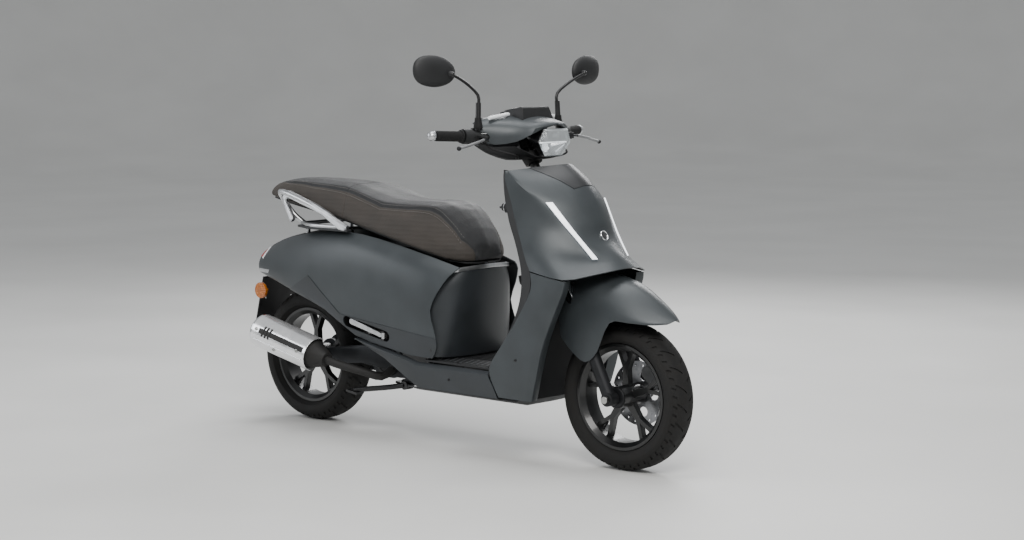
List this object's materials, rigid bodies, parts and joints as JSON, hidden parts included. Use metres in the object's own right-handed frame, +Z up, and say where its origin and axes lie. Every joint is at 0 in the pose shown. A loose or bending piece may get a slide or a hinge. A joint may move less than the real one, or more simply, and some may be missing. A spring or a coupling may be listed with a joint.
{
  "type": "moped scooter",
  "caption": "Step-through moped scooter with leg shield, flat floor, two-level seat, unit swingarm engine, telescopic fork and cast wheels.",
  "frame": {"origin": "on the ground, midway between the two axles, on the centre plane", "axes": "+X forward, +Y to the rider's left, +Z up"},
  "size_m": [1.802, 0.8812, 1.254],
  "materials": {
    "body_grey": "satin metallic grey-blue paint",
    "lower_plastic": "grained dark plastic",
    "floor_rubber": "ribbed rubber mat",
    "frame_black": "black powder coat",
    "control_black": "black moulded plastic",
    "lever_metal": "dark satin paint",
    "grip_rubber": "ribbed grip rubber",
    "hose_rubber": "black hose",
    "bright_metal": "satin aluminium",
    "chrome": "chrome plate",
    "shield_chrome": "bright plated heat shield",
    "wheel_black": "gloss black cast wheel",
    "tyre_rubber": "black tyre rubber",
    "disc_steel": "ground steel",
    "casting": "dark painted casting",
    "engine_alloy": "dark painted alloy",
    "exhaust_black": "heat-resistant black",
    "shock_paint": "black paint",
    "lamp_clear": "clear lens",
    "lamp_white": "white lit lens",
    "lamp_red": "red lens",
    "reflector_amber": "amber reflector",
    "button_red": "red button",
    "button_yellow": "yellow button",
    "seat_cover": "coated seat cover over foam",
    "seat_shell": "moulded seat base"
  },
  "bodies": {
    "chassis": {"frame": "frame_black", "front_shield": "body_grey", "inner_shield": "lower_plastic", "light_strips": "lamp_white", "footboard": "floor_rubber", "floor_skirts": "body_grey", "belly_pan": "lower_plastic", "side_panels": "body_grey", "seat_front_cover": "lower_plastic", "tail_cover": "lower_plastic", "tail_lamp": "lamp_red", "rear_mudguard": "lower_plastic", "side_reflectors": "reflector_amber", "grab_rail": "bright_metal", "storage_bin": "lower_plastic", "peg_brackets": "lower_plastic"},
    "steering": {"steering_stem": "frame_black", "fork_tubes": "chrome", "handlebar": "frame_black", "headset_cover": "body_grey", "headset_back_cover": "lower_plastic", "headlamp_bowl": "lower_plastic", "headlamp_lens": "lamp_clear", "front_indicators": "lamp_white", "instrument_pod": "lower_plastic", "lever_perches": "lever_metal", "switch_boxes": "control_black", "left_grip": "grip_rubber", "bar_ends": "bright_metal", "mirror_stems": "lever_metal", "brake_hoses": "hose_rubber", "front_fender": "body_grey"},
    "throttle": {"throttle_grip": "grip_rubber"},
    "right_lever": {"brake_lever_right": "lever_metal"},
    "left_lever": {"brake_lever_left": "lever_metal"},
    "right_mirror": {"mirror_head_right": "control_black"},
    "left_mirror": {"mirror_head_left": "control_black"},
    "start_key": {"start_button": "button_red"},
    "horn_key": {"horn_button": "button_yellow"},
    "turn_key": {"turn_switch": "control_black"},
    "fork_lower": {"fork_sliders": "lever_metal", "front_axle": "chrome", "brake_caliper": "casting"},
    "front_wheel": {"front_rim": "wheel_black", "front_tyre": "tyre_rubber", "brake_disc": "disc_steel"},
    "engine": {"engine_case": "engine_alloy", "exhaust": "exhaust_black", "muffler_shield": "shield_chrome"},
    "rear_wheel": {"rear_rim": "wheel_black", "rear_tyre": "tyre_rubber"},
    "shock_upper": {"shock_body": "shock_paint"},
    "shock_lower": {"shock_rod": "bright_metal"},
    "stand": {"centre_stand": "frame_black"},
    "seat": {"seat_base": "seat_shell", "seat_cushion": "seat_cover"},
    "right_footpeg": {"footpeg_right": "bright_metal"},
    "left_footpeg": {"footpeg_left": "bright_metal"},
    "hook": {"luggage_hook": "frame_black"},
    "ignition": {"ignition_knob": "control_black"}
  },
  "joints": [
    {"name": "steering", "type": "hinge", "parent": "chassis", "child": "steering", "pos_m": [0.36088, 0, 0.8], "axis": [-0.4462, 0, 0.8949], "range_deg": [-38, 38]},
    {"name": "fork_travel", "type": "slide", "parent": "steering", "child": "fork_lower", "axis": [-0.4462, 0, 0.8949], "range_m": [-0.008, 0.045], "stiffness_N_per_m": 14000, "springref_m": -0.03},
    {"name": "front_wheel_spin", "type": "hinge", "parent": "fork_lower", "child": "front_wheel", "pos_m": [0.675, 0, 0.226], "axis": [0, 1, 0], "continuous": true},
    {"name": "throttle_twist", "type": "hinge", "parent": "steering", "child": "throttle", "pos_m": [0.21039, -0.29582, 1.00908], "axis": [-0.2644, -0.9637, 0.0384], "range_deg": [0, 75], "stiffness_Nm_per_rad": 0.4, "springref_deg": -17.19},
    {"name": "right_brake", "type": "hinge", "parent": "steering", "child": "right_lever", "pos_m": [0.2823, -0.20538, 0.99932], "axis": [0, 0, -1], "range_deg": [0, 18], "stiffness_Nm_per_rad": 3, "springref_deg": -5.73},
    {"name": "left_brake", "type": "hinge", "parent": "steering", "child": "left_lever", "pos_m": [0.2823, 0.20538, 0.99932], "axis": [0, 0, 1], "range_deg": [0, 18], "stiffness_Nm_per_rad": 3, "springref_deg": -5.73},
    {"name": "right_mirror_turn", "type": "hinge", "parent": "steering", "child": "right_mirror", "pos_m": [0.24717, -0.318, 1.197], "axis": [0, 0, 1], "range_deg": [-12, 12]},
    {"name": "left_mirror_turn", "type": "hinge", "parent": "steering", "child": "left_mirror", "pos_m": [0.24717, 0.318, 1.197], "axis": [0, 0, 1], "range_deg": [-12, 12]},
    {"name": "start_press", "type": "slide", "parent": "steering", "child": "start_key", "axis": [0.7322, -0.2265, -0.6423], "range_m": [0, 0.0015], "stiffness_N_per_m": 600, "springref_m": -0.002},
    {"name": "horn_press", "type": "slide", "parent": "steering", "child": "horn_key", "axis": [0.9289, 0.2651, -0.2586], "range_m": [0, 0.0015], "stiffness_N_per_m": 600, "springref_m": -0.002},
    {"name": "turn_shift", "type": "slide", "parent": "steering", "child": "turn_key", "axis": [-0.2644, 0.9637, 0.0384], "range_m": [-0.002, 0.002], "stiffness_N_per_m": 300},
    {"name": "swingarm", "type": "hinge", "parent": "chassis", "child": "engine", "pos_m": [-0.17, 0, 0.262], "axis": [0, 1, 0], "range_deg": [-2, 5], "stiffness_Nm_per_rad": 4200, "springref_deg": -3.44},
    {"name": "rear_wheel_spin", "type": "hinge", "parent": "engine", "child": "rear_wheel", "pos_m": [-0.675, 0, 0.226], "axis": [0, 1, 0], "continuous": true},
    {"name": "shock_tilt", "type": "hinge", "parent": "chassis", "child": "shock_upper", "pos_m": [-0.613, 0.13, 0.584], "axis": [0, 1, 0], "range_deg": [-1, 1]},
    {"name": "shock_stroke", "type": "slide", "parent": "shock_upper", "child": "shock_lower", "axis": [0.1055, 0, 0.9944], "range_m": [-0.018, 0.043]},
    {"name": "stand_swing", "type": "hinge", "parent": "engine", "child": "stand", "pos_m": [-0.195, 0, 0.172], "axis": [0, -1, 0], "range_deg": [0, 85], "stiffness_Nm_per_rad": 4, "springref_deg": -40.11},
    {"name": "seat_lift", "type": "hinge", "parent": "chassis", "child": "seat", "pos_m": [0.118, 0, 0.594], "axis": [0, 1, 0], "range_deg": [0, 55]},
    {"name": "right_peg_fold", "type": "hinge", "parent": "chassis", "child": "right_footpeg", "pos_m": [-0.175, -0.189, 0.352], "axis": [0, 0, 1], "range_deg": [0, 80]},
    {"name": "left_peg_fold", "type": "hinge", "parent": "chassis", "child": "left_footpeg", "pos_m": [-0.175, 0.189, 0.352], "axis": [0, 0, -1], "range_deg": [0, 80]},
    {"name": "hook_fold", "type": "hinge", "parent": "chassis", "child": "hook", "pos_m": [0.283, 0, 0.548], "axis": [0, -1, 0], "range_deg": [0, 60]},
    {"name": "ignition_turn", "type": "hinge", "parent": "chassis", "child": "ignition", "pos_m": [0.289, -0.108, 0.786], "axis": [1, 0, 0], "range_deg": [0, 90]}
  ],
  "couplings": [
    {"joint": "shock_stroke", "follows": "swingarm", "m_per_rad": 0.47449},
    {"joint": "shock_tilt", "follows": "swingarm", "ratio": -0.030136}
  ]
}
